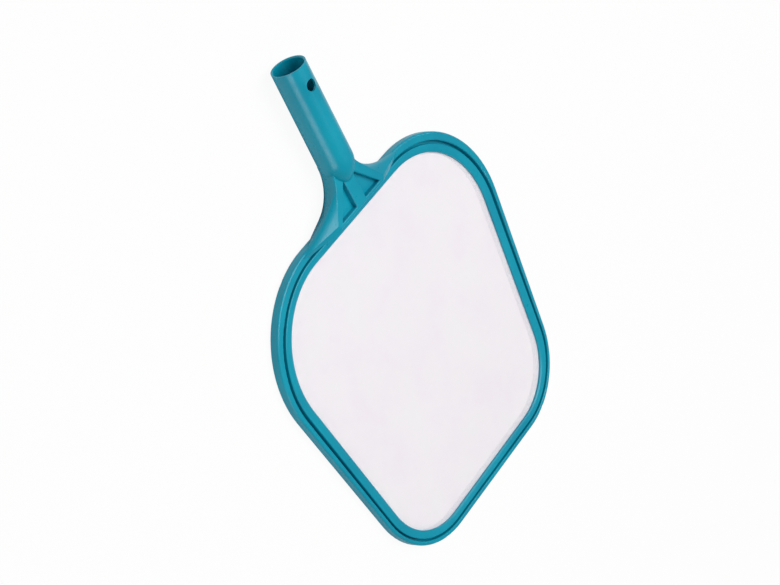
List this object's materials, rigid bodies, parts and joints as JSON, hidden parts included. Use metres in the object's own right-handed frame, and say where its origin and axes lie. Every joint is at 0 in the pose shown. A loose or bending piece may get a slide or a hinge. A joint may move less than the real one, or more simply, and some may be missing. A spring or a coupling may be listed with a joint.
{
  "type": "leaf skimmer net head",
  "caption": "Flat leaf skimmer head: fine net in a rounded tapering plastic frame, held by a snap-in ring, with a tubular socket for a pole.",
  "frame": {"origin": "middle of the bounding box's bottom: the plane of the frame's flat back, on the part's centre plane", "axes": "+Z the way the net's front faces, -Y towards the socket's mouth, +Y towards the straight scooping edge, +X across"},
  "size_m": [0.3074, 0.4292, 0.0351],
  "materials": {
    "frame_plastic": "glossy moulded plastic, teal",
    "ring_plastic": "glossy moulded plastic, teal",
    "net_mesh": "fine woven white mesh"
  },
  "bodies": {
    "root": {"skimmer_frame": "frame_plastic", "net_retaining_ring": "ring_plastic", "net": "net_mesh"}
  },
  "joints": []
}
